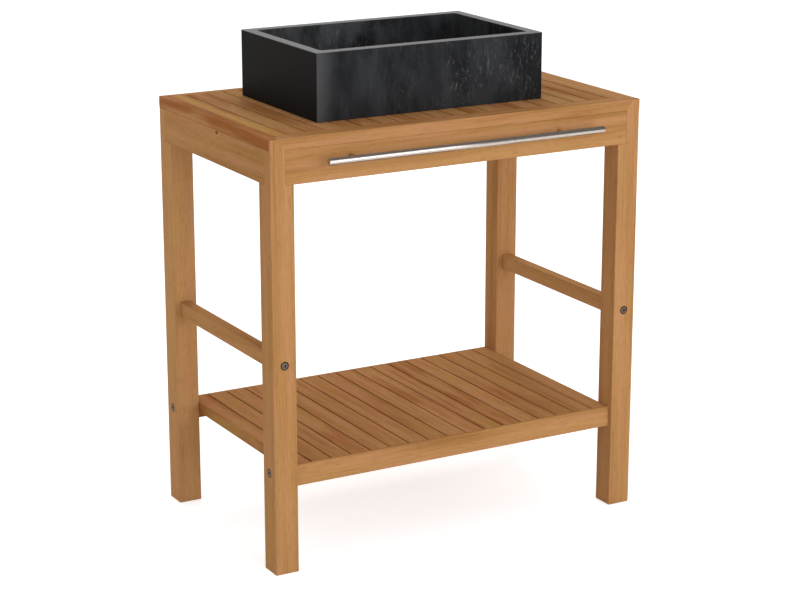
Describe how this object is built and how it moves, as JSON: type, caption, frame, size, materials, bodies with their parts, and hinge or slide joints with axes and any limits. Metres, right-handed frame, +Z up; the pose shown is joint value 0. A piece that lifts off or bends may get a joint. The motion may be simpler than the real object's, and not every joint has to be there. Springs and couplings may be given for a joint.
{
  "type": "vanity unit",
  "caption": "Teak washstand on four legs with slatted top and shelf, side stretchers, towel bar and rectangular black marble vessel basin.",
  "frame": {"origin": "on the floor, under the middle of the overall box, which includes the towel bar in front", "axes": "+X to the right as seen from the front, +Y to the back, +Z up"},
  "size_m": [0.74, 0.483, 0.89],
  "materials": {
    "teak_frame": "oiled satin",
    "teak_slats": "oiled satin",
    "teak_battens": "planed",
    "black_marble": "honed",
    "clear_sealant": "silicone bead",
    "stainless_bar": "satin",
    "zinc_fasteners": "zinc plated"
  },
  "bodies": {
    "root": {"leg_front_left": "teak_frame", "leg_front_right": "teak_frame", "leg_back_left": "teak_frame", "leg_back_right": "teak_frame", "apron_front": "teak_frame", "apron_back": "teak_frame", "apron_left": "teak_frame", "apron_right": "teak_frame", "top_rail_front": "teak_frame", "top_rail_back": "teak_frame", "top_rail_left": "teak_frame", "top_rail_right": "teak_frame", "shelf_rail_front": "teak_frame", "shelf_rail_back": "teak_frame", "stretcher_left": "teak_frame", "stretcher_right": "teak_frame", "top_slat_01": "teak_slats", "top_slat_02": "teak_slats", "top_slat_03": "teak_slats", "top_slat_04": "teak_slats", "top_slat_05": "teak_slats", "top_slat_06": "teak_slats", "top_slat_07": "teak_slats", "top_slat_08": "teak_slats", "top_slat_11": "teak_slats", "top_slat_12": "teak_slats", "top_slat_13": "teak_slats", "top_slat_14": "teak_slats", "top_slat_15": "teak_slats", "top_slat_16": "teak_slats", "top_slat_17": "teak_slats", "top_slat_18": "teak_slats", "top_slats_short_front": "teak_slats", "top_slats_short_back": "teak_slats", "shelf_rail_left": "teak_slats", "shelf_rail_right": "teak_slats", "shelf_slat_01": "teak_slats", "shelf_slat_02": "teak_slats", "shelf_slat_03": "teak_slats", "shelf_slat_04": "teak_slats", "shelf_slat_05": "teak_slats", "shelf_slat_06": "teak_slats", "shelf_slat_07": "teak_slats", "shelf_slat_08": "teak_slats", "shelf_slat_09": "teak_slats", "shelf_slat_10": "teak_slats", "shelf_slat_11": "teak_slats", "shelf_slat_12": "teak_slats", "shelf_slat_13": "teak_slats", "shelf_slat_14": "teak_slats", "shelf_slat_15": "teak_slats", "top_battens": "teak_battens", "shelf_batten": "teak_battens", "basin": "black_marble", "basin_sealant": "clear_sealant", "towel_bar": "stainless_bar", "towel_bar_posts": "stainless_bar", "towel_bar_screws": "zinc_fasteners", "leg_bolts": "zinc_fasteners", "insert_nuts": "zinc_fasteners"}
  },
  "joints": []
}
